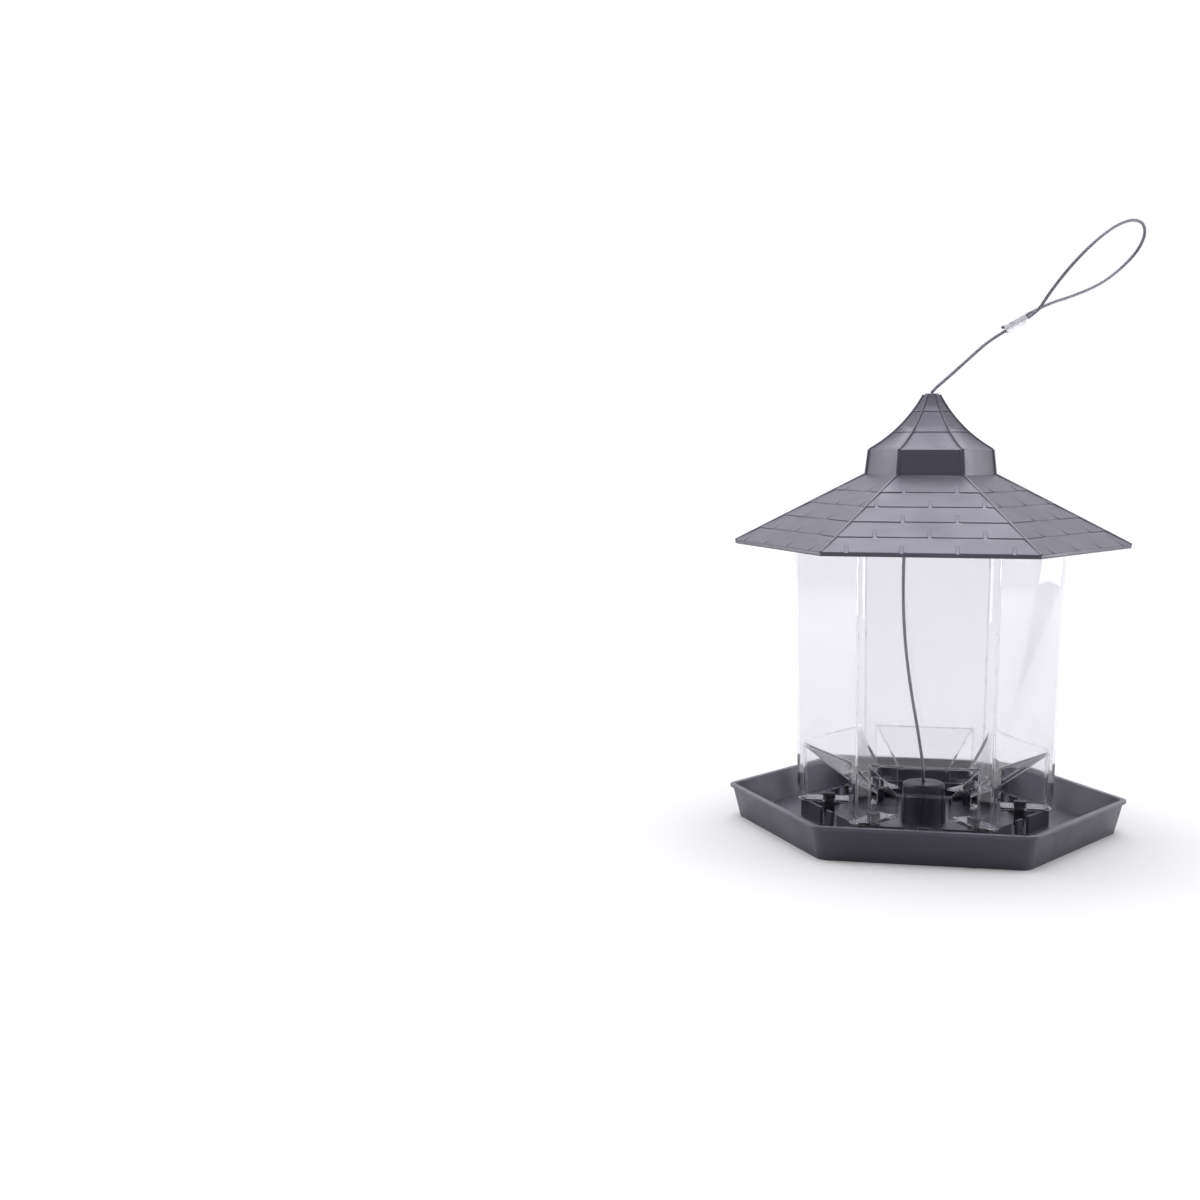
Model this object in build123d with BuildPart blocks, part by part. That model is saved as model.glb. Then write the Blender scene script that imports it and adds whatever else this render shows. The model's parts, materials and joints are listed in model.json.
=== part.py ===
"""Hanging hexagonal seed feeder: open tray, clear hopper, gazebo roof and a wire-rope hanger.

Millimetres, +Z up. The origin is the middle of the tray's underside. The hexagon's corners lie on
the X axis and every 60 degrees from it, so flat sides face +Y and -Y. A corner size is measured
from the middle to a corner of the hexagon, and a flat size from the middle to a flat side.
"""

import os
from math import cos, hypot, pi, radians, tan

from build123d import *

os.makedirs("parts", exist_ok=True)

sides = 6
flat_ratio = cos(pi / sides)

# Tray
tray_corner = 118.0
tray_height = 20.0
tray_wall = 2.0
tray_floor = 2.0
tray_flare = 4.7
lip_width = 1.7
lip_height = 1.8
tray_corner_round = 7.0
rib_flat = 63.5
rib_wall = 1.6
rib_top = 12.5
drain_radius = 3.7
drain_spacing = 14.0
corner_hole_radius = 2.1
corner_hole_place = 105.5
boss_foot_radius = 13.5
boss_top_radius = 12.5
boss_height = 26.0
boss_round = 2.0
boss_wall = 2.0
boss_fin_wall = 1.6
boss_fin_reach = 1.0

# Snap posts that stand on the tray and pass through the hopper's feet
post_place = 56.0
post_length = 6.0
post_width = 4.0
post_barb = 0.9
post_barb_height = 2.2
post_clearance = 0.3

# Hopper
hopper_foot_corner = 75.6
hopper_rim_corner = 79.5
hopper_rim_height = 186.3
hopper_wall = 1.8
foot_plate = 1.5

# Seed ports: an alcove between every two legs, under a sloping ceiling
alcove_mouth_width = 58.6
alcove_mouth_height = 46.5
alcove_throat_width = 28.0
alcove_throat_height = 24.5
alcove_throat_flat = 40.0

# Roof
roof_eave_corner = 115.3
roof_slope = 31.0
roof_wall = 2.0
eave_edge = 2.0
seat_gap = 0.3
lantern_foot_corner = 37.7
lantern_top_corner = 36.0
lantern_height = 14.6
steeple_top_corner = 4.9
steeple_height = 32.0
steeple_hollow = 3.2
steeple_steps = 5
collar_radius = 4.2
collar_height = 0.8

# Wire rope, the holes that it passes, and what is crimped on it
cable_radius = 1.0
roof_hole_clearance = 0.95
roof_hole_radius = cable_radius + roof_hole_clearance
cable_hole_clearance = 0.6
cable_hole_radius = cable_radius + cable_hole_clearance
stop_wall = 1.8
stop_radius = cable_radius + stop_wall
stop_length = 8.0
washer_radius = 7.0
washer_thickness = 1.0
washer_clearance = 0.2
cable_tail = 1.0
bend_clearance = 0.3
ferrule_length = 14.5
ferrule_wall = 1.2
ferrule_lobe_radius = cable_radius + ferrule_wall
strand_gap = 0.5
ferrule_strand_spacing = 2 * cable_radius + strand_gap
ferrule_run = 30.0
ferrule_place = 16.0
return_overshoot = 6.5
fillet_share = 0.45


def hexagon_loft(levels, corner_round=0.0):
    """Return a solid through level hexagons, each given as its corner size and height."""
    with BuildPart() as solid:
        for corner, height in levels:
            with BuildSketch(Plane.XY.offset(height)) as outline:
                RegularPolygon(corner, sides)
                if corner_round > 0:
                    fillet(outline.vertices(), corner_round)
        loft(ruled=True)
    return solid.part


def hexagon_ring(corner, wall, low, high):
    """Return an upright hexagonal ring with its outside at this corner size."""
    with BuildPart() as ring:
        with BuildSketch(Plane.XY.offset(low)):
            RegularPolygon(corner, sides)
            RegularPolygon(corner - wall / flat_ratio, sides, mode=Mode.SUBTRACT)
        extrude(amount=high - low)
    return ring.part


def inset_levels(levels, wall, bottom, top):
    """Return the levels one wall inside these, cut off at the bottom and top heights."""
    faces = []
    for (corner, height), (next_corner, next_height) in zip(levels, levels[1:]):
        lean = (next_corner - corner) * flat_ratio / (next_height - height)
        inset = corner * flat_ratio - lean * height - wall * hypot(1, lean)
        faces.append((lean, inset))
    heights = [bottom]
    for (lean, inset), (next_lean, next_inset) in zip(faces, faces[1:]):
        heights.append((inset - next_inset) / (next_lean - lean))
    heights.append(top)
    faces.append(faces[-1])
    return [((lean * z + inset) / flat_ratio, z) for (lean, inset), z in zip(faces, heights)]


def cable_path(points):
    """Return straight runs joined by arcs as large as the runs allow, and the arcs' radii."""
    corners = [Vector(point) for point in points]
    runs = [end - start for start, end in zip(corners, corners[1:])]
    radii = []
    for run, next_run in zip(runs, runs[1:]):
        half_turn = radians(run.get_angle(next_run)) / 2
        shorter = min(run.length, next_run.length)
        radii.append(fillet_share * shorter / tan(half_turn))
    return FilletPolyline(*corners, radius=radii), radii


def cable_tube(name, points):
    """Return a round cable along these points, after printing its bends and its volume."""
    path, radii = cable_path(points)
    with BuildPart() as tube:
        with BuildSketch(Plane(path @ 0, z_dir=path % 0)):
            Circle(cable_radius)
        sweep(path=path)
    expected = pi * cable_radius**2 * path.length
    print(name, "length", round(path.length, 1), "volume / expected", round(tube.part.volume / expected, 4))
    print(name, "bend radii", [round(radius, 1) for radius in radii])
    return tube.part


# ---- Tray: one moulding ----

tray_wall_corner = tray_corner - lip_width
tray_foot_corner = tray_wall_corner - tray_flare
lip_bottom = tray_height - lip_height
inside_round = tray_corner_round - tray_wall
wall_inset = tray_wall / flat_ratio
inside_flare = tray_flare * (tray_height - tray_floor) / lip_bottom
inside_top_corner = tray_wall_corner - wall_inset + tray_flare * lip_height / lip_bottom
boss_hollow_radius = boss_top_radius - boss_wall
boss_hollow_top = boss_height - boss_wall
rib_corner = rib_flat / flat_ratio
post_top = rib_top + foot_plate + post_clearance + post_barb_height

tray_outside = hexagon_loft([(tray_foot_corner, 0), (tray_wall_corner, lip_bottom)], tray_corner_round)
tray_lip = hexagon_loft([(tray_corner, lip_bottom), (tray_corner, tray_height)], tray_corner_round)
tray_inside = hexagon_loft(
    [(inside_top_corner - inside_flare, tray_floor), (inside_top_corner, tray_height)], inside_round
)
seed_rib = hexagon_ring(rib_corner, rib_wall, tray_floor, rib_top)

with BuildPart() as tray:
    add(tray_outside)
    add(tray_lip)
    add(tray_inside, mode=Mode.SUBTRACT)
    add(seed_rib)

    # Centre boss, hollow from below, with thin upright fins on its flank
    with BuildSketch(Plane.XZ) as boss_profile:
        with BuildLine():
            Polyline(
                (0, 0),
                (boss_foot_radius, 0),
                (boss_top_radius, boss_height),
                (0, boss_height),
                close=True,
            )
        make_face()
        shoulder = boss_profile.vertices().sort_by(Axis.X)[-2]
        fillet(shoulder, boss_round)
    revolve(axis=Axis.Z)
    with BuildSketch(Plane.XY.offset(tray_floor)):
        with PolarLocations(boss_top_radius, sides, start_angle=30):
            Rectangle(2 * boss_fin_reach + boss_foot_radius - boss_top_radius, boss_fin_wall)
    extrude(amount=boss_height - boss_round - tray_floor)

    # Snap posts, each with a barb on its outer side above the foot plate
    with BuildSketch(Plane.XY.offset(tray_floor)):
        with PolarLocations(post_place, sides):
            Rectangle(post_length, post_width)
    extrude(amount=post_top - tray_floor)
    with BuildSketch(Plane.XY.offset(post_top - post_barb_height)):
        with PolarLocations(post_place + post_barb / 2, sides):
            Rectangle(post_length + post_barb, post_width)
    extrude(amount=post_barb_height)

    with BuildSketch(Plane.XY):
        Circle(boss_hollow_radius)
    extrude(amount=boss_hollow_top, mode=Mode.SUBTRACT)
    with Locations((0, 0, boss_height)):
        Hole(cable_hole_radius, depth=boss_height)

    # Drain holes on the rib's line, two to a side, and a small hole in every corner
    for side in range(sides):
        turn = Rot(0, 0, side * 360 / sides)
        for offset_along in (-drain_spacing / 2, drain_spacing / 2):
            with Locations(turn * Pos(offset_along, -rib_flat, rib_top / 2)):
                Hole(drain_radius, depth=rib_top / 2)
    with PolarLocations(corner_hole_place, sides):
        Hole(corner_hole_radius, depth=tray_height)
tray.part.label = "tray"

# ---- Hopper: one clear moulding on six hollow legs ----

foot_bottom = rib_top
foot_top = foot_bottom + foot_plate
hopper_inset = hopper_wall / flat_ratio
hopper_lean = (hopper_rim_corner - hopper_foot_corner) / (hopper_rim_height - foot_bottom)
inside_foot_corner = hopper_foot_corner + hopper_lean * foot_plate - hopper_inset
mouth_flat = hopper_foot_corner * flat_ratio
alcove_depth = mouth_flat - alcove_throat_flat
alcove_side_slope = (alcove_mouth_width - alcove_throat_width) / 2 / alcove_depth
alcove_ceiling_slope = (alcove_mouth_height - alcove_throat_height) / alcove_depth
alcove_reach = hopper_rim_corner
throat_corner_radius = hypot(alcove_throat_width / 2, alcove_throat_flat)


def alcove_block(wall):
    """Return the wedge of air under one ceiling facing -Y, grown by a wall at its sides and top."""
    side_growth = wall * hypot(1, alcove_side_slope)
    top_growth = wall * hypot(1, alcove_ceiling_slope)
    reach = alcove_reach - alcove_throat_flat
    near = alcove_throat_width / 2 + side_growth
    far = near + reach * alcove_side_slope
    low = alcove_throat_height + top_growth
    high = low + reach * alcove_ceiling_slope
    with BuildPart() as block:
        with BuildSketch(Plane.XY):
            with BuildLine():
                Polyline(
                    (-near, -alcove_throat_flat),
                    (-far, -alcove_reach),
                    (far, -alcove_reach),
                    (near, -alcove_throat_flat),
                    close=True,
                )
            make_face()
        extrude(amount=high)
        with BuildSketch(Plane.YZ):
            with BuildLine():
                Polyline(
                    (-alcove_throat_flat, 0),
                    (-alcove_throat_flat, low),
                    (-alcove_reach, high),
                    (-alcove_reach, 0),
                    close=True,
                )
            make_face()
        extrude(amount=far, both=True, mode=Mode.INTERSECT)
    return block.part


hopper_outside = hexagon_loft([(hopper_foot_corner, foot_bottom), (hopper_rim_corner, hopper_rim_height)])
hopper_inside = hexagon_loft(
    [(inside_foot_corner, foot_top), (hopper_rim_corner - hopper_inset, hopper_rim_height)]
)
alcove_walls = alcove_block(hopper_wall)
alcove_air = alcove_block(0)

with BuildPart() as hopper:
    with PolarLocations(0, sides):
        add(alcove_walls)
    add(hopper_outside, mode=Mode.INTERSECT)
    add(hopper_outside - hopper_inside)
    with BuildSketch(Plane.XY.offset(foot_bottom)):
        Circle(throat_corner_radius)
    extrude(amount=foot_plate, mode=Mode.SUBTRACT)
    with PolarLocations(0, sides):
        add(alcove_air, mode=Mode.SUBTRACT)
    with BuildSketch(Plane.XY.offset(foot_bottom)):
        with PolarLocations(post_place + post_barb / 2, sides):
            Rectangle(post_length + post_barb + 2 * post_clearance, post_width + 2 * post_clearance)
    extrude(amount=foot_plate, mode=Mode.SUBTRACT)
hopper.part.label = "hopper"

# ---- Roof: one moulding, from the eave up to the collar round the cable ----

slope_rise = tan(radians(roof_slope))
rim_flat = hopper_rim_corner * flat_ratio
slope_drop = roof_wall * hypot(1, slope_rise)
eave_height = hopper_rim_height + seat_gap + slope_drop - slope_rise * (roof_eave_corner * flat_ratio - rim_flat)
lantern_foot = eave_height + slope_rise * (roof_eave_corner - lantern_foot_corner) * flat_ratio
lantern_top = lantern_foot + lantern_height
roof_top = lantern_top + steeple_height
eave_bottom = eave_height - eave_edge
steeple_curve = SagittaArc((lantern_top_corner, lantern_top), (steeple_top_corner, roof_top), steeple_hollow)
steeple_points = [steeple_curve @ (step / steeple_steps) for step in range(1, steeple_steps + 1)]
roof_levels = [
    (roof_eave_corner, eave_height),
    (lantern_foot_corner, lantern_foot),
    (lantern_top_corner, lantern_top),
] + [(point.X, point.Y) for point in steeple_points]
roof_outside = hexagon_loft([(roof_eave_corner, eave_bottom)] + roof_levels)
roof_inside = hexagon_loft(inset_levels(roof_levels, roof_wall, eave_bottom, roof_top - roof_wall))
collar_top = roof_top + collar_height

with BuildPart() as roof:
    add(roof_outside)
    add(roof_inside, mode=Mode.SUBTRACT)
    with BuildSketch(Plane.XY.offset(roof_top)):
        Circle(collar_radius)
    extrude(amount=collar_height)
    with Locations((0, 0, collar_top)):
        Hole(roof_hole_radius, depth=roof_wall + collar_height)
roof.part.label = "roof"

# ---- Wire rope inside the feeder, its crimped stop and the washer above the stop ----

washer_bottom = boss_hollow_top - washer_thickness
stop_bottom = washer_bottom - stop_length
cable_end = stop_bottom - cable_tail
inner_points = [
    (0, 0, cable_end),
    (0, 0, 32),
    (-4.0, 0, 57),
    (-9.0, 0, 83),
    (-13.2, 0, 114),
    (-14.8, 0, 149),
    (-13.4, 0, 186),
    (-9.0, 0, 218),
    (-4.6, 0, 240),
    (0, 0, collar_top),
]
cable_inner = cable_tube("cable_inner", inner_points)
cable_inner.label = "cable_inner"

with BuildPart() as end_stop:
    with BuildSketch(Plane.XY.offset(stop_bottom)):
        Circle(stop_radius)
        Circle(cable_radius, mode=Mode.SUBTRACT)
    extrude(amount=stop_length)
    chamfer(end_stop.edges().filter_by(GeomType.CIRCLE).group_by(SortBy.RADIUS)[-1], cable_tail / 2)
end_stop.part.label = "end_stop"

with BuildPart() as end_washer:
    with BuildSketch(Plane.XY.offset(washer_bottom)):
        Circle(washer_radius)
        Circle(cable_radius + washer_clearance, mode=Mode.SUBTRACT)
    extrude(amount=washer_thickness)
end_washer.part.label = "end_washer"

# ---- Hanging loop: from the roof's hole through the ferrule, round, and back into the ferrule ----

bend_height = collar_top + cable_radius + bend_clearance
ferrule_axis = Vector(0.834, 0.286, 0.471).normalized()
across_ferrule = Vector(-ferrule_axis.Z, 0, ferrule_axis.X).normalized()
strand_step = across_ferrule * ferrule_strand_spacing
run_in = Vector(34.5, 11.1, 290.8)
run_out = run_in + ferrule_axis * ferrule_run
run_back = run_out + ferrule_axis * return_overshoot + strand_step
ferrule_middle = run_in + ferrule_axis * ferrule_place + strand_step / 2
tail_end = ferrule_middle + strand_step / 2 - ferrule_axis * (ferrule_length / 2 + cable_tail)
loop_points = [
    (0, 0, bend_height),
    (10.5, 3.1, 268.6),
    (22.6, 7.0, 280.0),
    run_in,
    run_out,
    (65.8, 17.3, 315.7),
    (74.8, 13.5, 328.1),
    (84.0, 11.2, 338.6),
    (93.7, 14.5, 347.9),
    (103.2, 22.8, 355.4),
    (112.4, 35.0, 360.0),
    (119.8, 46.6, 360.8),
    (123.8, 56.4, 358.1),
    (124.6, 65.0, 353.0),
    (121.4, 70.8, 345.4),
    (112.4, 69.6, 335.4),
    (99.5, 60.8, 325.3),
    (82.0, 44.5, 317.0),
    run_back,
    tail_end,
]
cable_loop = cable_tube("cable_loop", loop_points)
cable_loop.label = "cable_loop"

ferrule_plane = Plane(
    ferrule_middle - ferrule_axis * (ferrule_length / 2), x_dir=across_ferrule, z_dir=ferrule_axis
)
with BuildPart() as loop_ferrule:
    with BuildSketch(ferrule_plane):
        with GridLocations(ferrule_strand_spacing, 0, 2, 1):
            Circle(ferrule_lobe_radius)
        with GridLocations(ferrule_strand_spacing, 0, 2, 1):
            Circle(cable_radius, mode=Mode.SUBTRACT)
    extrude(amount=ferrule_length)
loop_ferrule.part.label = "loop_ferrule"

pieces = {
    "tray": tray.part,
    "hopper": hopper.part,
    "roof": roof.part,
    "cable_inner": cable_inner,
    "end_stop": end_stop.part,
    "end_washer": end_washer.part,
    "cable_loop": cable_loop,
    "loop_ferrule": loop_ferrule.part,
}
for name, piece in pieces.items():
    export_step(piece, f"parts/{name}.step")
    print(name, "solids", len(piece.solids()), "volume", round(piece.volume))
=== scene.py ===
import json
from math import atan2, cos, exp, hypot, pi, radians, sin

import bmesh
import bpy
from mathutils import Matrix, Vector
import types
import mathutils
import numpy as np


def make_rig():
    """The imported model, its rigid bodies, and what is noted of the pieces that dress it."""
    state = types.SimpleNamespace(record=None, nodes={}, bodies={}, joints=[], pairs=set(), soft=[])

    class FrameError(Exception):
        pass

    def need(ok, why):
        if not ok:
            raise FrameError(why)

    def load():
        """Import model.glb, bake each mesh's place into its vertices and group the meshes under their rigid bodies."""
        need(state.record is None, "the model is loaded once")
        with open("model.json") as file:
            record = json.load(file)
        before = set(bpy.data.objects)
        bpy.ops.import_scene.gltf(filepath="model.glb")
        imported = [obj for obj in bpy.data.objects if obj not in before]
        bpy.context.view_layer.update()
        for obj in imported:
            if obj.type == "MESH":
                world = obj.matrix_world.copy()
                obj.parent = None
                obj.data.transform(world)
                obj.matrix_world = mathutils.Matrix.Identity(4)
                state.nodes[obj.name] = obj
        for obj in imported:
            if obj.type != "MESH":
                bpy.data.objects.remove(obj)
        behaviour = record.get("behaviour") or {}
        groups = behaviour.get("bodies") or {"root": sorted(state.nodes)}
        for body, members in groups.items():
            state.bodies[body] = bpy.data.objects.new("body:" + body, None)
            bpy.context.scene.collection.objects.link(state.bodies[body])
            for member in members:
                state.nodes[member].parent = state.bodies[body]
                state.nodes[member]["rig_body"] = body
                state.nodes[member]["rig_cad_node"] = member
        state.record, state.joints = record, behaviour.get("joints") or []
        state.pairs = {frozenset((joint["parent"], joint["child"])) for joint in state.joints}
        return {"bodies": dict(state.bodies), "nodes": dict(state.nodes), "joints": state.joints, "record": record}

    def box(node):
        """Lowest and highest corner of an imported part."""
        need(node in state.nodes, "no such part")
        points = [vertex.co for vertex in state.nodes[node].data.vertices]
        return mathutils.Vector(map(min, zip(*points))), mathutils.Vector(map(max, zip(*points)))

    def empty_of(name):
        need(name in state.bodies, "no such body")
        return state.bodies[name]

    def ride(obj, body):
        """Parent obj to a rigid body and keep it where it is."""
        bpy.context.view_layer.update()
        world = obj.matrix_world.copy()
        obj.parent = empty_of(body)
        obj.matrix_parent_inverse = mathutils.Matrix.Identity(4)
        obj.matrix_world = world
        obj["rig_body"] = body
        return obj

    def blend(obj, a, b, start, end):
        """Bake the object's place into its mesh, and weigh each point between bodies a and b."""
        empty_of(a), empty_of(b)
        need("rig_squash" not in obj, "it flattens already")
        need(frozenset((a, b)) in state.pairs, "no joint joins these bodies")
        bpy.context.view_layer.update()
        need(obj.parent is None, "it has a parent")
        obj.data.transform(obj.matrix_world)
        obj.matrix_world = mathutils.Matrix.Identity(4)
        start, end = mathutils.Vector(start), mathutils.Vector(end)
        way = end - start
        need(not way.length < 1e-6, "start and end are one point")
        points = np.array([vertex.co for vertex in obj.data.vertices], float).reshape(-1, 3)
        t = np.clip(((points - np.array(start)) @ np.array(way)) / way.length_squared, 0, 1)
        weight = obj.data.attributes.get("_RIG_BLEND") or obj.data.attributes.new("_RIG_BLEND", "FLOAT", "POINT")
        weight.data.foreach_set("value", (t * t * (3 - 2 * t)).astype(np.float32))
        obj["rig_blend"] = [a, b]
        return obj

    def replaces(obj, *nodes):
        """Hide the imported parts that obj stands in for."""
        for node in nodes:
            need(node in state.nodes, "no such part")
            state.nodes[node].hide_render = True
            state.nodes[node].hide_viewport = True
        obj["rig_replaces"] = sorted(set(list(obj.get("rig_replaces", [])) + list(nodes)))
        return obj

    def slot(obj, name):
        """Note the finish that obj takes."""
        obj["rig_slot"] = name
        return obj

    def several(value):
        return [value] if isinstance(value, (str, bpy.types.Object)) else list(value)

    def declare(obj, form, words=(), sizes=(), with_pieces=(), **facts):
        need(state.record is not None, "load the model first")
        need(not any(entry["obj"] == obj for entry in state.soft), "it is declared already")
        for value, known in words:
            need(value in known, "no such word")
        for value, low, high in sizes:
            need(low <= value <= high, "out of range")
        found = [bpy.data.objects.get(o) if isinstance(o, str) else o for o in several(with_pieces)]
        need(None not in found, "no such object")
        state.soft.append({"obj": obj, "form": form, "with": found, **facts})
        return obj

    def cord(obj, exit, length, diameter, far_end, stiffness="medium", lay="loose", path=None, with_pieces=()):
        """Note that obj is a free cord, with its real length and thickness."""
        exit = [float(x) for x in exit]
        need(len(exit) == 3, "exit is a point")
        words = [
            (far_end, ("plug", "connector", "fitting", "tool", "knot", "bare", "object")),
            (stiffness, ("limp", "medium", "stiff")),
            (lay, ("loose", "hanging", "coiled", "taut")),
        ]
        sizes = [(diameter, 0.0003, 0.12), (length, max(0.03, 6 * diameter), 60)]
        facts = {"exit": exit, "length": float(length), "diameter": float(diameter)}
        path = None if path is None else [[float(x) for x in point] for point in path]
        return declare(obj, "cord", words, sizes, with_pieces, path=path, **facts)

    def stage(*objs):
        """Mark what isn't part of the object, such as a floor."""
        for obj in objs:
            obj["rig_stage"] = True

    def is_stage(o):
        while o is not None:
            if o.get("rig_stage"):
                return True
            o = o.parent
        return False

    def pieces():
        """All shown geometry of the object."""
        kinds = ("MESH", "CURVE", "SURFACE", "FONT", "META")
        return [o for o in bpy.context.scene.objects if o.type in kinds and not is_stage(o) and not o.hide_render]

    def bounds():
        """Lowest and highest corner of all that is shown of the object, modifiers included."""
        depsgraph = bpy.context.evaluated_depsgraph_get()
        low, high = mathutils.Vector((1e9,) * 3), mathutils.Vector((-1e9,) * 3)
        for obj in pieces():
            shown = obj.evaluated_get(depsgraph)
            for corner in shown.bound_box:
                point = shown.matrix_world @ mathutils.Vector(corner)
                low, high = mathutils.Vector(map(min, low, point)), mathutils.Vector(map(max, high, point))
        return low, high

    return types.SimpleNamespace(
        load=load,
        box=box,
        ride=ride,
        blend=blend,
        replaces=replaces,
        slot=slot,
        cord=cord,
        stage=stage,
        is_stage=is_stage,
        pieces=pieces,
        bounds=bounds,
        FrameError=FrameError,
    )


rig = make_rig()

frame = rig.load()
cadBox = [list(corner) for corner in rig.bounds()]
mm = 0.001
flatRatio = cos(pi / 6)  # middle to flat side, over middle to corner


view = {
    "place": (-0.0045, -0.9533, 0.2296),
    "aim": (-0.1990, -0.0018, 0.1321),
    "lens": 47.17,
}
studio = {
    "floorSize": 24.0,
    "walls": 1.08,
    "wallTop": (0.32, 0.62, -0.45),  # above these heights on the wall the room gets dimmer
    "darkSide": (0.2, -0.95, 0.25),  # the unlit side of the room, behind the camera
    "darkSideLight": 0.3,
    "darkSideEdge": (0.05, 0.85),
    "darkSideAbove": (0.07, 0.24),  # it starts above the horizon, between these heights
    "dimmest": 0.15,
    "overhead": (-0.04, 0.14, 0.99),  # a large soft lamp, overhead and a little behind
    "overheadSpread": (51, 33),
    "overheadLight": 4.0,
    "skyColour": "fbfaff",
    "floorColour": "b8b8b7",
    "lights": [  # name, place, aim, size across, watts
        ("leftSoftbox", (-1.3, 0.3, 0.25), (0, 0, 0.04), 0.6, 6.0),
        ("rightSoftbox", (1.3, 0.3, 0.25), (0, 0, 0.04), 0.6, 7.0),
    ],
}


def aimAt(place, aim):
    return (Vector(aim) - Vector(place)).to_track_quat("-Z", "Y").to_euler()


def facing(tree, direction, start, full, amount):
    # an amount of light that comes in softly for directions close to this one
    ray = addNode(tree, "TexCoord", {}).outputs["Generated"]
    aim = Vector(direction).normalized()
    near = addNode(tree, "VectorMath", {"operation": "DOT_PRODUCT", 0: ray, 1: aim})
    ease = addNode(
        tree,
        "MapRange",
        {
            "interpolation_type": "SMOOTHSTEP",
            "Value": near.outputs["Value"],
            "From Min": start,
            "From Max": full,
            "To Max": amount,
        },
    )
    return ease.outputs["Result"]


def makeStudio():
    scene = bpy.context.scene
    scene.view_settings.view_transform = "Standard"
    camera = bpy.data.objects.new("camera", bpy.data.cameras.new("camera"))
    camera.data.lens = view["lens"]
    camera.location = view["place"]
    camera.rotation_euler = aimAt(view["place"], view["aim"])
    scene.collection.objects.link(camera)
    scene.camera = camera
    for name, place, aim, size, watts in studio["lights"]:
        light = bpy.data.lights.new(name, "AREA")
        light.size = size
        light.energy = watts
        lamp = bpy.data.objects.new(name, light)
        lamp.location = place
        lamp.rotation_euler = aimAt(place, aim)
        scene.collection.objects.link(lamp)
    world = bpy.data.worlds.new("paleStudio")
    world.use_nodes = True
    tree = world.node_tree
    start, full = studio["darkSideEdge"]
    dark = facing(tree, studio["darkSide"], start, full, studio["darkSideLight"] - studio["walls"])
    start, full = studio["darkSideAbove"]
    above = facing(tree, (0, 0, 1), start, full, 1)
    dark = addNode(tree, "Math", {"operation": "MULTIPLY", 0: dark, 1: above}).outputs[0]
    wide, narrow = (cos(radians(spread)) for spread in studio["overheadSpread"])
    lamp = facing(tree, studio["overhead"], wide, narrow, studio["overheadLight"])
    low, high, dimming = studio["wallTop"]
    ceiling = facing(tree, (0, 0, 1), low, high, dimming)
    walls = addNode(tree, "Math", {"operation": "ADD", 0: ceiling, 1: studio["walls"]})
    room = addNode(tree, "Math", {"operation": "ADD", 0: dark, 1: walls.outputs[0]})
    dim = addNode(tree, "Math", {"operation": "MAXIMUM", 0: room.outputs[0], 1: studio["dimmest"]})
    light = addNode(tree, "Math", {"operation": "ADD", 0: dim.outputs[0], 1: lamp})
    sky = tree.nodes["Background"]
    sky.inputs["Color"].default_value = hexColour(studio["skyColour"])
    tree.links.new(light.outputs[0], sky.inputs["Strength"])
    scene.world = world
    bm = bmesh.new()
    bmesh.ops.create_grid(bm, x_segments=1, y_segments=1, size=studio["floorSize"] / 2)
    floor = finishPiece(bm, "studioFloor", paintedFloor())
    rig.stage(floor)


def hexColour(code):
    channels = [int(code[i : i + 2], 16) / 255 for i in (0, 2, 4)]
    return [c / 12.92 if c <= 0.04045 else ((c + 0.055) / 1.055) ** 2.4 for c in channels] + [1]


def addNode(tree, kind, settings):
    # a setting is a property of the node, a socket's value, another node's output to link, or the
    # (place, colour) stops of a colour ramp
    node = tree.nodes.new("ShaderNode" + kind)
    for name, value in settings.items():
        if name == "stops":
            for element, (place, colour) in zip(node.color_ramp.elements, value):
                element.position = place
                element.color = hexColour(colour)
        elif isinstance(name, str) and hasattr(node, name):
            setattr(node, name, value)
        elif isinstance(value, bpy.types.NodeSocket):
            tree.links.new(value, node.inputs[name])
        else:
            node.inputs[name].default_value = value
    return node


def newMaterial(name, settings):
    material = bpy.data.materials.new(name)
    material.use_nodes = True
    tree = material.node_tree
    shader = tree.nodes["Principled BSDF"]
    for socket, value in settings.items():
        shader.inputs[socket].default_value = value
    return material, tree, shader


def pattern(size):
    # the noise scale that gives marks of this size in millimetres
    return 1 / (size * mm)


greyLook = {
    "dark": "343239",
    "light": "3c3a42",
    "sheen": "efecff",
    # a paler grey painted along the edges as a highlight, and how strongly it shows
    "edgeHighlight": "7c7982",
    "edgeHighlightStrength": 0.35,
    "roughness": 0.4,
    "specular": 0.65,
}


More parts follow.
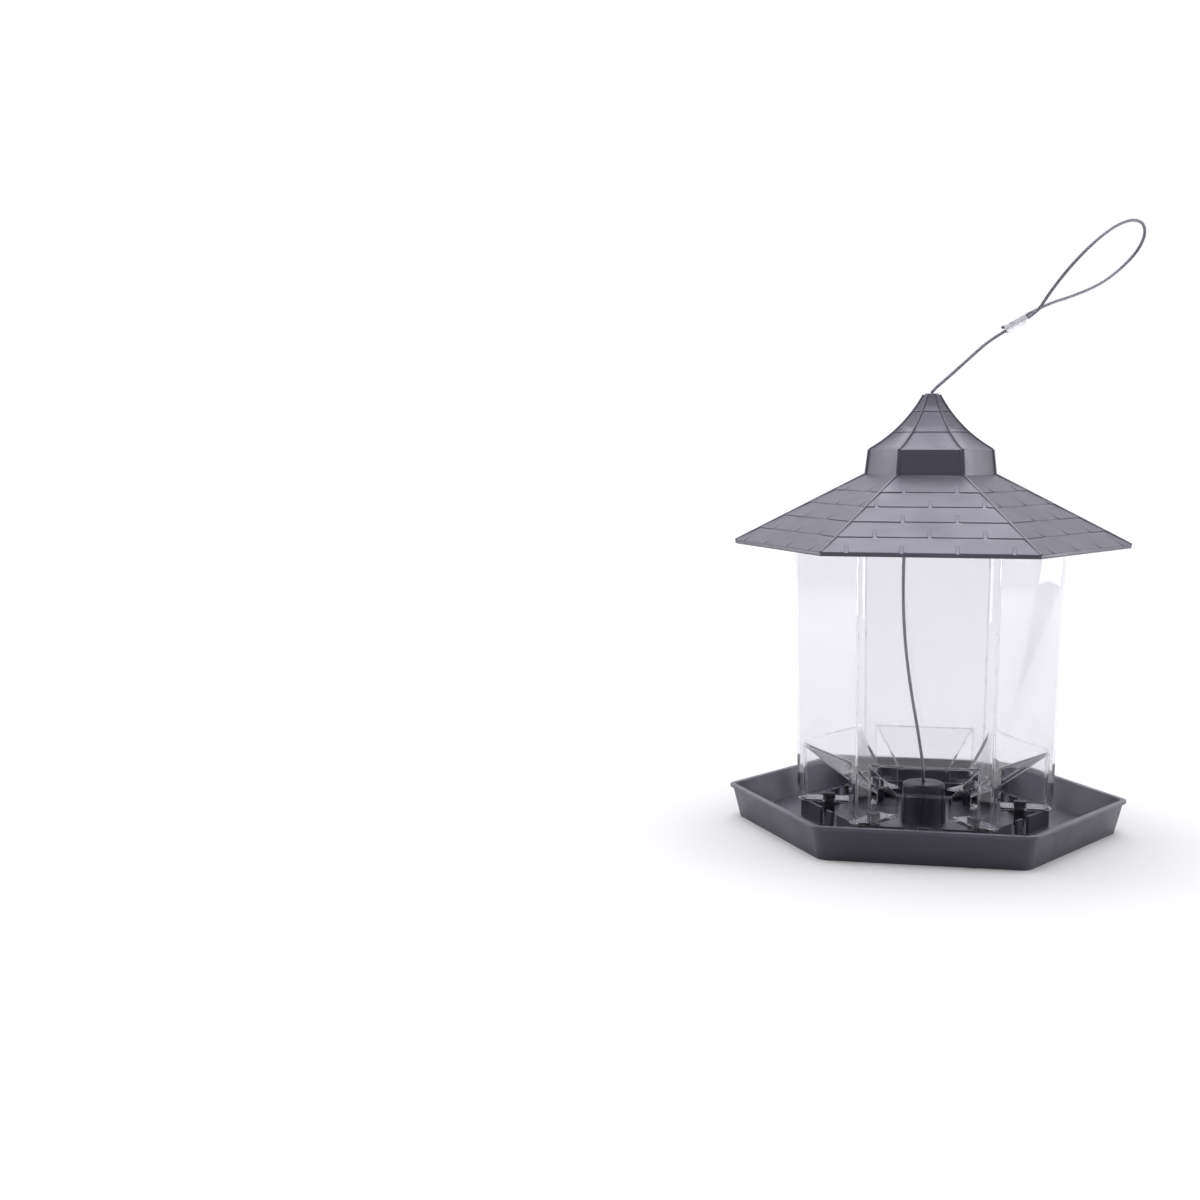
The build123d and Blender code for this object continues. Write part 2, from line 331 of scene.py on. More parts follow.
def mouldedPlastic(name, look):
    # filled polypropylene from a spark-eroded mould: satin, faintly pebbled, with a painted highlight that makes the
    # edges paler
    material, tree, shader = newMaterial(
        name,
        {
            "IOR": 1.49,
            "Specular IOR Level": look["specular"],
            "Specular Tint": hexColour(look["sheen"]),
            "Roughness": look["roughness"],
        },
    )
    place = addNode(tree, "TexCoord", {}).outputs["Object"]
    cloud = addNode(tree, "TexNoise", {"Vector": place, "Scale": pattern(38), "Detail": 3.0})
    stops = [(0.3, look["dark"]), (0.7, look["light"])]
    body = addNode(tree, "ValToRGB", {"Fac": cloud.outputs["Fac"], "stops": stops}).outputs["Color"]
    # a normal rounded over 0.6 mm leaves the true one only near an edge, which is where a paler highlight is painted,
    # in patches
    surface = addNode(tree, "NewGeometry", {}).outputs["Normal"]
    rounded = addNode(tree, "Bevel", {"samples": 4, "Radius": 0.6 * mm}).outputs["Normal"]
    edge = addNode(tree, "VectorMath", {"operation": "DOT_PRODUCT", 0: surface, 1: rounded})
    nearEdgeHighlight = addNode(
        tree,
        "MapRange",
        {"Value": edge.outputs["Value"], "From Min": 0.97, "From Max": 0.8, "To Max": look["edgeHighlightStrength"]},
    )
    speck = addNode(tree, "TexNoise", {"Vector": place, "Scale": pattern(2.5), "Detail": 6.0})
    patchy = addNode(
        tree, "Math", {"operation": "MULTIPLY", 0: nearEdgeHighlight.outputs["Result"], 1: speck.outputs["Fac"]}
    )
    # painted highlight: near an edge the colour is mixed, in patches, towards the paler grey
    edgeHighlight = addNode(
        tree,
        "Mix",
        {"data_type": "RGBA", 0: patchy.outputs[0], 6: body, 7: hexColour(look["edgeHighlight"])},
    )
    tree.links.new(edgeHighlight.outputs[2], shader.inputs["Base Color"])
    # handling marks change the gloss in patches
    hands = addNode(tree, "TexNoise", {"Vector": place, "Scale": pattern(22), "Detail": 5.0})
    gloss = addNode(
        tree,
        "MapRange",
        {
            "Value": hands.outputs["Fac"],
            "From Min": 0.3,
            "From Max": 0.75,
            "To Min": look["roughness"] - 0.07,
            "To Max": look["roughness"] + 0.09,
        },
    )
    tree.links.new(gloss.outputs["Result"], shader.inputs["Roughness"])
    # the mould's grain is about 0.2 mm; it is drawn at 0.8 mm to show at all
    grain = addNode(tree, "TexNoise", {"Vector": place, "Scale": pattern(0.8), "Detail": 2.0})
    relief = addNode(
        tree, "Bump", {"Height": grain.outputs["Fac"], "Strength": 0.18, "Distance": 0.15 * mm}
    )
    tree.links.new(relief.outputs["Normal"], shader.inputs["Normal"])
    return material


def clearPolystyrene():
    # crystal polystyrene, injection moulded: glossy, a trace of violet-grey, faint flow and rub marks
    material, tree, shader = newMaterial(
        "mouldedClearPolystyrene",
        {
            "Base Color": hexColour("ebebed"),
            "IOR": 1.07,  # far under the real 1.59, so that the far side stays clear to see
            "Roughness": 0.0,
            "Transmission Weight": 1.0,
            "Coat Weight": 1.0,
            "Coat IOR": 1.55,
            "Coat Roughness": 0.01,
        },
    )
    place = addNode(tree, "TexCoord", {}).outputs["Object"]
    rubs = addNode(tree, "TexNoise", {"Vector": place, "Scale": pattern(16), "Detail": 8.0})
    haze = addNode(
        tree,
        "MapRange",
        {"Value": rubs.outputs["Fac"], "From Min": 0.5, "From Max": 0.85, "To Min": 0.015, "To Max": 0.045},
    )
    tree.links.new(haze.outputs["Result"], shader.inputs["Coat Roughness"])
    flow = addNode(tree, "TexNoise", {"Vector": place, "Scale": pattern(26), "Detail": 1.0})
    relief = addNode(
        tree, "Bump", {"Height": flow.outputs["Fac"], "Strength": 0.03, "Distance": 0.2 * mm}
    )
    tree.links.new(relief.outputs["Normal"], shader.inputs["Coat Normal"])
    return material


def polystyreneEdge():
    # the rounded edges of the same moulding, in a paler, less clear copy of its material: a painted highlight that
    # shows them as thin pale lines
    material, tree, shader = newMaterial(
        "paintedHighlightPolystyreneEdge",
        {
            "Base Color": hexColour("dcdce2"),
            "IOR": 1.2,
            "Roughness": 0.2,
            "Transmission Weight": 0.6,
            "Alpha": 0.75,
            "Coat Weight": 1.0,
            "Coat IOR": 1.6,
            "Coat Roughness": 0.05,
        },
    )
    place = addNode(tree, "TexCoord", {}).outputs["Object"]
    # the painted highlight shows more strongly in some patches along the edges and more weakly in others
    highlightBreaks = addNode(tree, "TexNoise", {"Vector": place, "Scale": pattern(7), "Detail": 4.0})
    clarity = addNode(
        tree,
        "MapRange",
        {"Value": highlightBreaks.outputs["Fac"], "From Min": 0.3, "From Max": 0.7, "To Min": 0.5, "To Max": 0.9},
    )
    tree.links.new(clarity.outputs["Result"], shader.inputs["Alpha"])
    return material


def wireRopeSteel():
    # galvanised steel wire, drawn and laid: grey, half bright on the crowns, with painted shade making it dark between
    # strands
    material, tree, shader = newMaterial("laidGalvanisedSteel", {"Metallic": 1.0})
    crown = addNode(tree, "Attribute", {"attribute_name": "crown"}).outputs["Fac"]
    place = addNode(tree, "TexCoord", {}).outputs["Object"]
    # painted shade: dark low down between the strands, paler out on the crowns
    stops = [(0.35, "1f2024"), (0.95, "8d8e95")]
    body = addNode(tree, "ValToRGB", {"Fac": crown, "stops": stops}).outputs["Color"]
    spangle = addNode(tree, "TexNoise", {"Vector": place, "Scale": pattern(1.6), "Detail": 3.0})
    tint = addNode(
        tree,
        "Mix",
        {"data_type": "RGBA", "blend_type": "MULTIPLY", 0: 0.5, 6: body, 7: spangle.outputs["Fac"]},
    )
    tree.links.new(tint.outputs[2], shader.inputs["Base Color"])
    gloss = addNode(
        tree, "MapRange", {"Value": spangle.outputs["Fac"], "To Min": 0.28, "To Max": 0.55}
    )
    tree.links.new(gloss.outputs["Result"], shader.inputs["Roughness"])
    return material


def turnedMetal(name, colour, roughness, grainSize):
    # soft aluminium or zinc-plated steel: bright, with fine drawing lines and a few dull patches
    material, tree, shader = newMaterial(name, {"Metallic": 1.0})
    place = addNode(tree, "TexCoord", {}).outputs["Object"]
    patch = addNode(tree, "TexNoise", {"Vector": place, "Scale": pattern(grainSize), "Detail": 5.0})
    stops = [(0.25, colour[0]), (0.75, colour[1])]
    body = addNode(tree, "ValToRGB", {"Fac": patch.outputs["Fac"], "stops": stops}).outputs["Color"]
    tree.links.new(body, shader.inputs["Base Color"])
    gloss = addNode(
        tree,
        "MapRange",
        {"Value": patch.outputs["Fac"], "To Min": roughness - 0.1, "To Max": roughness + 0.15},
    )
    tree.links.new(gloss.outputs["Result"], shader.inputs["Roughness"])
    lines = addNode(tree, "TexNoise", {"Vector": place, "Scale": pattern(1.2), "Detail": 1.0})
    relief = addNode(
        tree, "Bump", {"Height": lines.outputs["Fac"], "Strength": 0.05, "Distance": 0.04 * mm}
    )
    tree.links.new(relief.outputs["Normal"], shader.inputs["Normal"])
    return material


def paintedFloor():
    # board painted a matt light grey: no gloss, so nothing but soft shadows shows on it
    look = {"Base Color": hexColour(studio["floorColour"]), "Roughness": 0.85, "Specular IOR Level": 0.2}
    return newMaterial("mattPaintedBoard", look)[0]


def shadeSmooth(faces):
    for face in faces:
        face.smooth = True


def finishPiece(bm, name, material, smoothAngle=35):
    mesh = bpy.data.meshes.new(name)
    bm.normal_update()
    smooth = [face.smooth for face in bm.faces]
    bm.to_mesh(mesh)
    bm.free()
    piece = bpy.data.objects.new(name, mesh)
    bpy.context.scene.collection.objects.link(piece)
    mesh.materials.append(material)
    mesh.set_sharp_from_angle(angle=radians(smoothAngle))
    # finding the sharp edges makes every face smooth, so the flat ones are set again
    for face, soft in zip(mesh.polygons, smooth):
        face.use_smooth = soft
    return piece


def appendMesh(bm, part, turn=None):
    # adds a finished bmesh to another one, turned if asked, and frees it
    if turn is not None:
        bmesh.ops.transform(part, matrix=turn, verts=part.verts)
    mesh = bpy.data.meshes.new("part")
    part.to_mesh(mesh)
    part.free()
    bm.from_mesh(mesh)
    bpy.data.meshes.remove(mesh)


def ringEdges(made):
    return list({edge for vert in made["verts"] for edge in vert.link_edges})


def levelRing(bm, radius, height, segments=6):
    # create_circle starts on the Y axis, so it is turned to put a corner on the X axis
    matrix = Matrix.Translation((0, 0, height)) @ Matrix.Rotation(pi / 6, 4, "Z")
    return ringEdges(bmesh.ops.create_circle(bm, segments=segments, radius=radius, matrix=matrix))


def bridgeRings(bm, rings, capped):
    # a closed skin over rings, with both ends capped or with the last ring joined to the first
    pairs = list(zip(rings, rings[1:]))
    if not capped:
        pairs.append((rings[-1], rings[0]))
    for ring, nextRing in pairs:
        bmesh.ops.bridge_loops(bm, edges=ring + nextRing)
    if capped:
        bmesh.ops.edgeloop_fill(bm, edges=rings[0])
        bmesh.ops.edgeloop_fill(bm, edges=rings[-1])
    bmesh.ops.recalc_face_normals(bm, faces=bm.faces)


def roundOff(bm, geom, offset, segments, affect="EDGES", clamp=False):
    made = bmesh.ops.bevel(
        bm,
        geom=geom,
        offset=offset,
        segments=segments,
        profile=0.5,
        affect=affect,
        material=-1,
        clamp_overlap=clamp,
    )
    return made["faces"]


def heading(points, i):
    # which way a line of points runs at one of them
    return points[min(i + 1, len(points) - 1)] - points[max(i - 1, 0)]


def tube(points, radius, segments=10):
    # a closed round bar through these points
    bm = bmesh.new()
    rings = []
    for i, point in enumerate(points):
        turn = heading(points, i).to_track_quat("Z", "Y").to_matrix().to_4x4()
        matrix = Matrix.Translation(point) @ turn
        made = bmesh.ops.create_circle(bm, segments=segments, radius=radius, matrix=matrix)
        rings.append(ringEdges(made))
    bridgeRings(bm, rings, capped=True)
    shadeSmooth(face for face in bm.faces if len(face.verts) == 4)
    return bm


edgeRounds = {"tray": 0.25 * mm, "hopper": 0.45 * mm}


def softenedCopy(node, name, material, edgeRound, edgeMaterial=None):
    # a moulding whose shape is already right: its flat faces are made whole and its edges rounded
    bm = bmesh.new()
    bm.from_mesh(frame["nodes"][node].data)
    bmesh.ops.remove_doubles(bm, verts=bm.verts, dist=0.002 * mm)
    bmesh.ops.dissolve_limit(bm, angle_limit=radians(0.6), verts=bm.verts, edges=bm.edges)
    curved = (edge for edge in bm.edges if radians(1) < edge.calc_face_angle(0) < radians(28))
    shadeSmooth(face for edge in list(curved) for face in edge.link_faces)
    sharp = [edge for edge in bm.edges if edge.calc_face_angle(0) > radians(28)]
    rounded = roundOff(bm, sharp, edgeRound, 2, clamp=True)
    shadeSmooth(rounded)
    # the rounded edges take the edge material, a paler copy that paints a highlight on them
    if edgeMaterial:
        for face in rounded:
            face.material_index = 1
    piece = finishPiece(bm, name, material, smoothAngle=40)
    if edgeMaterial:
        piece.data.materials.append(edgeMaterial)
    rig.replaces(piece, node)
    return piece


rope = {
    "radius": 1.0 * mm,
    "strands": 6,
    "lay": 12.5 * mm,  # length of one full turn of a strand
    "step": 0.7 * mm,
    "sides": 6,
}
innerRoute = [
    (0.0, 0.0, 0.0140),
    (0.0, 0.0, 0.0320),
    (-0.0040, 0.0, 0.0570),
    (-0.0090, 0.0, 0.0830),
    (-0.0132, 0.0, 0.1140),
    (-0.0148, 0.0, 0.1490),
    (-0.0134, 0.0, 0.1860),
    (-0.0090, 0.0, 0.2180),
    (-0.0046, 0.0, 0.2400),
    (0.0, 0.0, 0.2581),
]
loopRoute = [
    (0.0, 0.0, 0.2594),
    (0.0105, 0.0031, 0.2686),
    (0.0226, 0.0070, 0.2800),
    (0.0345, 0.0111, 0.2908),
    (0.0595, 0.0197, 0.3049),
    (0.0658, 0.0173, 0.3157),
    (0.0748, 0.0135, 0.3281),
    (0.0840, 0.0112, 0.3386),
    (0.0937, 0.0145, 0.3479),
    (0.1032, 0.0228, 0.3554),
    (0.1124, 0.0350, 0.3600),
    (0.1198, 0.0466, 0.3608),
    (0.1238, 0.0564, 0.3581),
    (0.1246, 0.0650, 0.3530),
    (0.1214, 0.0708, 0.3454),
    (0.1124, 0.0696, 0.3354),
    (0.0995, 0.0608, 0.3253),
    (0.0820, 0.0445, 0.3170),
    (0.0637, 0.0215, 0.3102),
    (0.0397, 0.0133, 0.2966),
]


def routeLine(points):
    # the smooth line that a rope with these control points follows
    data = bpy.data.curves.new("route", "CURVE")
    data.dimensions = "3D"
    data.resolution_u = 32
    spline = data.splines.new("NURBS")
    spline.points.add(len(points) - 1)
    for point, place in zip(spline.points, points):
        point.co = (*place, 1)
    spline.order_u = 3
    spline.use_endpoint_u = True
    guide = bpy.data.objects.new("route", data)
    bpy.context.scene.collection.objects.link(guide)
    bpy.context.view_layer.update()
    mesh = bpy.data.meshes.new_from_object(guide)
    line = [vert.co.copy() for vert in mesh.vertices]
    bpy.data.meshes.remove(mesh)
    bpy.data.objects.remove(guide)
    bpy.data.curves.remove(data)
    return line


def evenSteps(line, step):
    # points a fixed distance apart along the line
    lengths = [0.0]
    for start, end in zip(line, line[1:]):
        lengths.append(lengths[-1] + (end - start).length)
    count = round(lengths[-1] / step)
    places, at = [], 0
    for i in range(count + 1):
        target = lengths[-1] * i / count
        while at < len(lengths) - 2 and lengths[at + 1] < target:
            at += 1
        span = lengths[at + 1] - lengths[at]
        places.append(line[at].lerp(line[at + 1], (target - lengths[at]) / span if span else 0))
    return places, lengths[-1]


def carriedFrames(places):
    # a side direction carried along the line without twisting
    side = Vector((0, 1, 0))
    frames = []
    for i in range(len(places)):
        along = heading(places, i).normalized()
        side = (side - along * side.dot(along)).normalized()
        frames.append((along, side, along.cross(side)))
    return frames


def layRope(name, route):
    # six round strands laid round a straight heart, each following the rope's line
    line = routeLine(route)
    places, length = evenSteps(line, rope["step"])
    frames = carriedFrames(places)
    strandRadius = rope["radius"] / 3
    bm = bmesh.new()
    appendMesh(bm, tube(places, strandRadius, rope["sides"]))
    for strand in range(rope["strands"]):
        centres = []
        for i, (place, (along, side, across)) in enumerate(zip(places, frames)):
            turn = 2 * pi * (strand / rope["strands"] + length * i / (len(places) - 1) / rope["lay"])
            reach = rope["radius"] - strandRadius
            centres.append(place + side * (reach * cos(turn)) + across * (reach * sin(turn)))
        appendMesh(bm, tube(centres, strandRadius, rope["sides"]))
    piece = finishPiece(bm, name, wireRopeSteel(), smoothAngle=60)
    # how far each point stands out from the heart, for the painted shade that darkens the lines between strands
    crown = piece.data.attributes.new("crown", "FLOAT", "POINT")
    perBar = len(places) * rope["sides"]
    for index, vert in enumerate(piece.data.vertices):
        place = places[min((index % perBar) // rope["sides"], len(places) - 1)]
        crown.data[index].value = min((vert.co - place).length / rope["radius"], 1)
    return piece, places, length


def makeRopes(ferrule):
    inner, places, length = layRope("ropeInside", innerRoute)
    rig.replaces(inner, "cable_inner")
    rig.slot(inner, "wire_rope")
    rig.cord(
        inner,
        exit=places[0],
        length=length,
        diameter=2 * rope["radius"],
        far_end="object",
        stiffness="stiff",
        lay="loose",
        path=places,
    )
    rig.blend(inner, "base", "roof", start=(0, 0, 0.030), end=(0, 0, 0.256))
    # the outer rope starts a little lower, inside the collar, where it meets the inner one
    collarStart = (0.0, 0.0, loopRoute[0][2] - 1.3 * mm)
    outer, places, length = layRope("ropeLoop", [collarStart] + loopRoute)
    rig.replaces(outer, "cable_loop")
    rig.slot(outer, "wire_rope")
    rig.cord(
        outer,
        exit=places[0],
        length=length,
        diameter=2 * rope["radius"],
        far_end="fitting",
        stiffness="stiff",
        lay="loose",
        path=places,
        with_pieces=[ferrule],
    )
    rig.blend(outer, "roof", "hanger", start=(0, 0, 0.2594), end=(0.0088, 0.0027, 0.2680))
    print("ropes laid", round(length, 3))


sleeve = {
    "middle": (0.04723, 0.01568, 0.29943),
    "axis": (0.8343, 0.2861, 0.4712),
    "across": (-0.4917, 0.0, 0.8707),
    "length": 14.5 * mm,
    "halfWidth": 3.45 * mm,
    "halfThickness": 2.2 * mm,
    "waist": 0.2,  # how much thinner it is between the two lobes
    "dents": (0.25, 0.5, 0.75),
    "dentDepth": 0.07,
}


def makeFerrule():
    axis, across = Vector(sleeve["axis"]).normalized(), Vector(sleeve["across"]).normalized()
    place = Matrix((across, axis.cross(across), axis)).transposed().to_4x4()
    place.translation = Vector(sleeve["middle"])
    bm = bmesh.new()
    rings = []
    stations = [0.0, 0.02, 0.06] + [0.06 + 0.88 * i / 32 for i in range(1, 32)] + [0.94, 0.98, 1.0]
    for station in stations:
        made = bmesh.ops.create_circle(bm, segments=40, radius=1)
        endRound = 1 - 0.09 * max(0, 1 - min(station, 1 - station) / 0.05) ** 2
        press = sum(exp(-(((station - dent) / 0.055) ** 2)) for dent in sleeve["dents"])
        for vert in made["verts"]:
            turn = atan2(vert.co.y, vert.co.x)
            fullness = hypot(cos(turn), sin(turn) ** 3) ** 0.25  # flatter than an ellipse
            x = sleeve["halfWidth"] * cos(turn) * endRound * (1 + 0.25 * sleeve["dentDepth"] * press)
            groove = 1 - sleeve["waist"] * exp(-((x / (1.1 * mm)) ** 2))
            y = sleeve["halfThickness"] * sin(turn) * fullness * groove * endRound
            vert.co = (x, y * (1 - sleeve["dentDepth"] * press), (station - 0.5) * sleeve["length"])
        rings.append(ringEdges(made))
    bridgeRings(bm, rings, capped=True)
    shadeSmooth(bm.faces)
    bmesh.ops.transform(bm, matrix=place, verts=bm.verts)
    material = turnedMetal("pressedAluminium", ("cfd0d4", "eeeef0"), 0.42, 3.0)
    piece = finishPiece(bm, "ropeFerrule", material, smoothAngle=50)
    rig.replaces(piece, "loop_ferrule")
    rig.slot(piece, "ferrule_aluminium")
    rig.ride(piece, "hanger")
    return piece


roofLow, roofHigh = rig.box("roof")
roofShape = {
    "eaveCorner": roofHigh.x,
    "eaveEdge": 2.0 * mm,
    "wall": 2.0 * mm,
    "lanternFoot": 37.7 * mm,
    "lanternTop": 36.0 * mm,
    "lanternHeight": 14.6 * mm,
    "steepleTop": 4.9 * mm,
    "steepleHeight": 32.0 * mm,
    "steepleHollow": 3.2 * mm,
    "steepleSteps": 14,
    "steepleCourses": (9.5 * mm, 21.6 * mm),  # below its top, a small ledge at each
    "ledge": 0.35 * mm,
    "collarHeight": 0.8 * mm,
    "collarRadius": 4.2 * mm,
    "collarSides": 24,
    "holeRadius": 1.95 * mm,
    "lanternRound": 1.5 * mm,
    "eaveRound": 0.35 * mm,
    "beadRadius": 1.05 * mm,
}
shingles = {
    "courseHeight": 15.0 * mm,
    "courses": 5,
    "tabWidth": 29.3 * mm,
    "slotWidth": 1.7 * mm,
    "slotShare": 0.45,
    "tabRound": 1.3 * mm,
    "edgeRound": 0.35 * mm,
    "proud": 0.5 * mm,  # how far a course's lower edge stands off the roof
    "tuck": 0.08 * mm,
    "sunk": 0.3 * mm,
    "slotFloor": 0.55,  # where a slot's floor ends, between the tuck and the proud edge
    "slotToHip": 5 * mm,  # no slot comes nearer to a hip than this
    "topGap": 0.4 * mm,
}


def roofProfile():
    # (corner, height) levels of the outside, from the eave to the top of the steeple
    top = roofHigh.z - roofShape["collarHeight"]
    lanternTop = top - roofShape["steepleHeight"]
    foot = lanternTop - roofShape["lanternHeight"]
    eave = roofLow.z + roofShape["eaveEdge"]
    levels = [
        (roofShape["eaveCorner"], eave),
        (roofShape["lanternFoot"], foot),
        (roofShape["lanternTop"], lanternTop),
    ]
    start = Vector((roofShape["lanternTop"], lanternTop))
    end = Vector((roofShape["steepleTop"], top))
    half = (end - start).length / 2
    hollow = roofShape["steepleHollow"]
    radius = (half**2 + hollow**2) / (2 * hollow)
    across = Vector((end.y - start.y, start.x - end.x)).normalized()
    centre = (start + end) / 2 + across * (radius - hollow)
    startTurn = atan2(start.y - centre.y, start.x - centre.x)
    endTurn = atan2(end.y - centre.y, end.x - centre.x)
    if endTurn - startTurn > pi:
        endTurn -= 2 * pi
    for i in range(1, roofShape["steepleSteps"] + 1):
        turn = startTurn + (endTurn - startTurn) * i / roofShape["steepleSteps"]
        levels.append((centre.x + radius * cos(turn), centre.y + radius * sin(turn)))
    return levels


def insetProfile(levels, wall, bottom, top):
    # the inside, one wall in from the outside, cut off at the bottom and top heights
    faces = []
    for (corner, height), (nextCorner, nextHeight) in zip(levels, levels[1:]):
        lean = (nextCorner - corner) * flatRatio / (nextHeight - height)
        faces.append((lean, corner * flatRatio - lean * height - wall * hypot(1, lean)))
    heights = [bottom]
    for (lean, inset), (nextLean, nextInset) in zip(faces, faces[1:]):
        heights.append((inset - nextInset) / (nextLean - lean))
    heights.append(top)
    faces.append(faces[-1])
    return [((lean * z + inset) / flatRatio, z) for (lean, inset), z in zip(faces, heights)]


def cornerAt(levels, height):
    for (corner, low), (nextCorner, high) in zip(levels, levels[1:]):
        if low <= height <= high:
            return corner + (nextCorner - corner) * (height - low) / (high - low)
    return levels[-1][0]


def roofShell(levels):
    # one closed wall: up the inside, out through the hole, over the collar and down the outside
    top = levels[-1][1]
    inside = insetProfile(levels, roofShape["wall"], roofLow.z, top - roofShape["wall"])
    outside = list(levels)
    for below in roofShape["steepleCourses"]:
        height = top - below
        corner = cornerAt(levels, height)
        outside += [(corner + roofShape["ledge"], height + 0.02 * mm), (corner, height - 0.12 * mm)]
    outside.sort(key=lambda level: -level[1])
    bm = bmesh.new()
    rings = [levelRing(bm, corner, height) for corner, height in inside]
    hole, collar = roofShape["holeRadius"], roofShape["collarRadius"]
    roundSides = roofShape["collarSides"]
    rings += [
        levelRing(bm, hole, top - roofShape["wall"], roundSides),
        levelRing(bm, hole, roofHigh.z - 0.3 * mm, roundSides),
        levelRing(bm, hole + 0.3 * mm, roofHigh.z, roundSides),
        levelRing(bm, collar - 0.35 * mm, roofHigh.z, roundSides),
        levelRing(bm, collar, roofHigh.z - 0.3 * mm, roundSides),
        levelRing(bm, collar, top, roundSides),
    ]
    rings += [levelRing(bm, corner, height) for corner, height in outside]
    rings.append(levelRing(bm, roofShape["eaveCorner"], roofLow.z))
    bridgeRings(bm, rings, capped=False)
    # the lantern's upright corners are softly rounded
    low, high = levels[1][1], levels[2][1]
    upright = [
        edge
        for edge in bm.edges
        if abs(edge.verts[0].co.z - edge.verts[1].co.z) > 0.9 * (high - low)
        and min(v.co.z for v in edge.verts) > low - 0.1 * mm
        and max(v.co.z for v in edge.verts) < high + 0.1 * mm
        and min(hypot(v.co.x, v.co.y) for v in edge.verts) > roofShape["lanternTop"] - 0.1 * mm
    ]
    roundOff(bm, upright, roofShape["lanternRound"], 3)
    eave = [
        edge
        for edge in bm.edges
        if min(hypot(v.co.x, v.co.y) for v in edge.verts) > roofShape["eaveCorner"] - 0.1 * mm
    ]
    roundOff(bm, eave, roofShape["eaveRound"], 2)
    shadeSmooth(bm.faces)
    return bm


def shingleCourse(low, high, halfWidth, slots):
    # one course of a flat face, in its own plane: cut, its slots opened, then given thickness
    bm = bmesh.new()
    outline = [(-halfWidth(low), low), (halfWidth(low), low)]
    outline += [(halfWidth(high), high), (-halfWidth(high), high)]
    bm.faces.new([bm.verts.new((x, y, 0)) for x, y in outline])
    slotTop = low + shingles["slotShare"] * (high - low)
    for slot in slots:
        for side in (-0.5, 0.5):
            bmesh.ops.bisect_plane(
                bm,
                geom=bm.verts[:] + bm.edges[:] + bm.faces[:],
                plane_co=(slot + side * shingles["slotWidth"], 0, 0),
                plane_no=(1, 0, 0),
            )
    bmesh.ops.bisect_plane(
        bm, geom=bm.verts[:] + bm.edges[:] + bm.faces[:], plane_co=(0, slotTop, 0), plane_no=(0, 1, 0)
    )
    openings = [
        face
        for face in bm.faces
        if face.calc_center_median().y < slotTop
        and any(abs(face.calc_center_median().x - slot) < 0.4 * shingles["slotWidth"] for slot in slots)
    ]
    bmesh.ops.delete(bm, geom=openings, context="FACES")
    # each tab is rounded at its lower corner beside the slot
    corners = [
        vert
        for vert in bm.verts
        for slot in slots
        if (vert.co - Vector((slot + shingles["slotWidth"] / 2, low, 0))).length < 0.05 * mm
    ]
    roundOff(bm, corners, shingles["tabRound"], 3, affect="VERTICES")
    raised = bmesh.ops.extrude_face_region(bm, geom=bm.faces[:])
    for vert in bm.verts:
        vert.co.z = -shingles["sunk"]
    for item in raised["geom"]:
        if isinstance(item, bmesh.types.BMVert):
            share = (high - item.co.y) / (high - low)
            item.co.z = shingles["tuck"] + (shingles["proud"] - shingles["tuck"]) * share
    bmesh.ops.recalc_face_normals(bm, faces=bm.faces)
    # the tabs' upper edges are rounded, except where they run into the next course or a hip
    exposed = [
        edge
        for edge in bm.edges
        if min(vert.co.z for vert in edge.verts) > 0
        and edge.calc_face_angle(0) > radians(40)
        and edge.verts[0].co.y + edge.verts[1].co.y < 2 * slotTop + 0.1 * mm
        and max(abs(edge.verts[0].co.x), abs(edge.verts[1].co.x)) < halfWidth(low) - 1 * mm
    ]
    shadeSmooth(roundOff(bm, exposed, shingles["edgeRound"], 2, clamp=True))
    # each slot's floor rises until it meets the tabs' surface
    lowest = 0.02 * mm
    topHeight = shingles["tuck"] + (shingles["proud"] - shingles["tuck"]) * shingles["slotFloor"]
    for slot in slots:
        ramp = bmesh.ops.create_cube(bm, size=1)["verts"]
        for vert in ramp:
            up = slotTop if vert.co.y > 0 else low + 0.02 * mm
            surface = topHeight if vert.co.y > 0 else lowest
            across = slot + vert.co.x * (shingles["slotWidth"] + 0.3 * mm)
            vert.co = (across, up, surface if vert.co.z > 0 else -shingles["sunk"])
    return bm


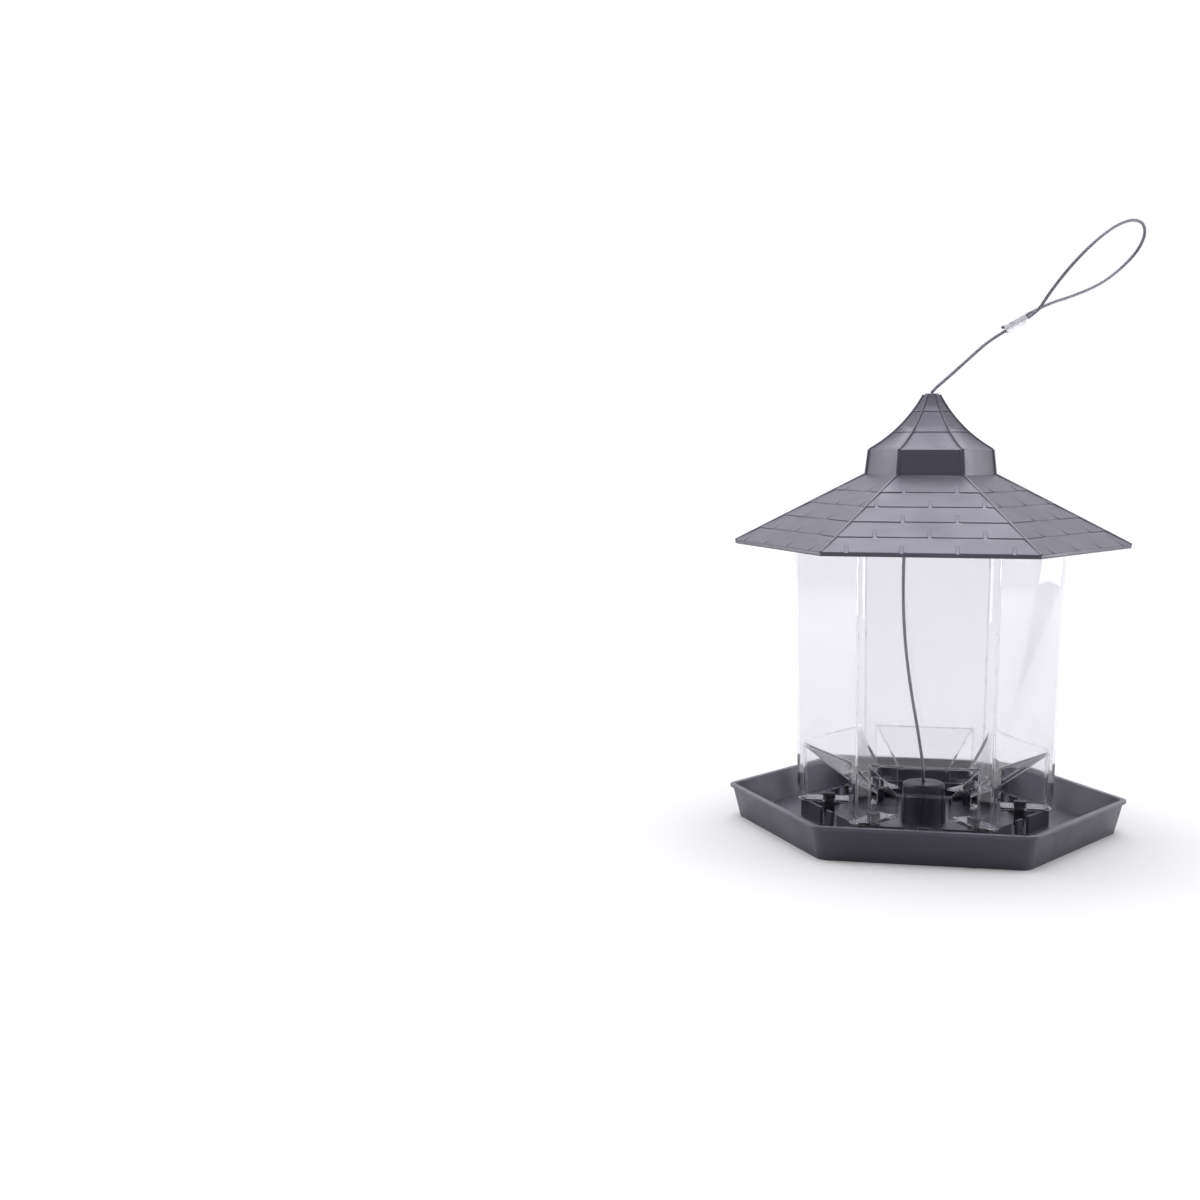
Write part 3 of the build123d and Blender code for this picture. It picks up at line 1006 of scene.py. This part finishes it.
def roofShingles(bm, levels):
    (eaveCorner, eave), (footCorner, foot) = levels[0], levels[1]
    rise, run = foot - eave, (eaveCorner - footCorner) * flatRatio
    slopeLength = hypot(rise, run)
    uphill = Vector((0, run, rise)).normalized()
    outward = Vector((1, 0, 0)).cross(uphill)
    onFace = Matrix((Vector((1, 0, 0)), uphill, outward)).transposed().to_4x4()
    onFace.translation = Vector((0, -eaveCorner * flatRatio, eave))

    def halfWidth(up):
        return (eaveCorner + (footCorner - eaveCorner) * up / slopeLength) / 2

    for course in range(shingles["courses"]):
        low = course * shingles["courseHeight"]
        last = course == shingles["courses"] - 1
        high = slopeLength - shingles["topGap"] if last else low + shingles["courseHeight"]
        shift = 0.5 if course % 2 == 0 else 0.0
        slots = [(shift + i) * shingles["tabWidth"] for i in range(-2, 3)]
        slots = [slot for slot in slots if abs(slot) < halfWidth(low) - shingles["slotToHip"]]
        for side in range(6):
            turn = Matrix.Rotation(side * pi / 3, 4, "Z") @ onFace
            appendMesh(bm, shingleCourse(low, high, halfWidth, slots), turn)


def roofBeads(bm, levels):
    # a raised round bead down every hip and every edge of the steeple
    radius = roofShape["beadRadius"]
    edge = [Vector((corner, 0, height)) for corner, height in levels]
    hip = (edge[1] - edge[0]).normalized()
    for points, size in (
        ([edge[0] - hip * 0.1 * mm, edge[1]], radius),
        (edge[1:3], 1.15 * radius),
        (edge[2:], 0.75 * radius),
    ):
        inward = Vector((-0.35 * size, 0, 0))
        for side in range(6):
            bar = tube([point + inward for point in points], size)
            appendMesh(bm, bar, Matrix.Rotation(side * pi / 3, 4, "Z"))


def makeRoof(material):
    levels = roofProfile()
    bm = roofShell(levels)
    roofShingles(bm, levels)
    roofBeads(bm, levels)
    piece = finishPiece(bm, "roofMoulding", material, smoothAngle=40)
    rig.replaces(piece, "roof")
    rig.slot(piece, "roof_plastic")
    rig.ride(piece, "roof")
    print("roof ready", len(piece.data.polygons), "faces")


makeStudio()
print("studio ready")
greyPlastic = mouldedPlastic("mouldedSlatePolypropylene", greyLook)
makeRoof(greyPlastic)

tray = softenedCopy("tray", "trayMoulding", greyPlastic, edgeRounds["tray"])
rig.slot(tray, "tray_plastic")
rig.ride(tray, "base")
hopper = softenedCopy(
    "hopper", "hopperMoulding", clearPolystyrene(), edgeRounds["hopper"], polystyreneEdge()
)
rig.slot(hopper, "clear_plastic")
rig.ride(hopper, "base")
print("mouldings ready")

makeRopes(makeFerrule())
frame["nodes"]["end_stop"].material_slots[0].material = turnedMetal(
    "crimpedAluminium", ("a9aaae", "cfd0d4"), 0.4, 2.0
)
frame["nodes"]["end_washer"].material_slots[0].material = turnedMetal(
    "zincPlatedSteel", ("9a9ca0", "c4c6c8"), 0.36, 4.0
)
print("stop and washer ready")

with open("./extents.json", "w") as sizes:
    json.dump({"cad": cadBox, "visual": [list(corner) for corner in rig.bounds()]}, sizes)
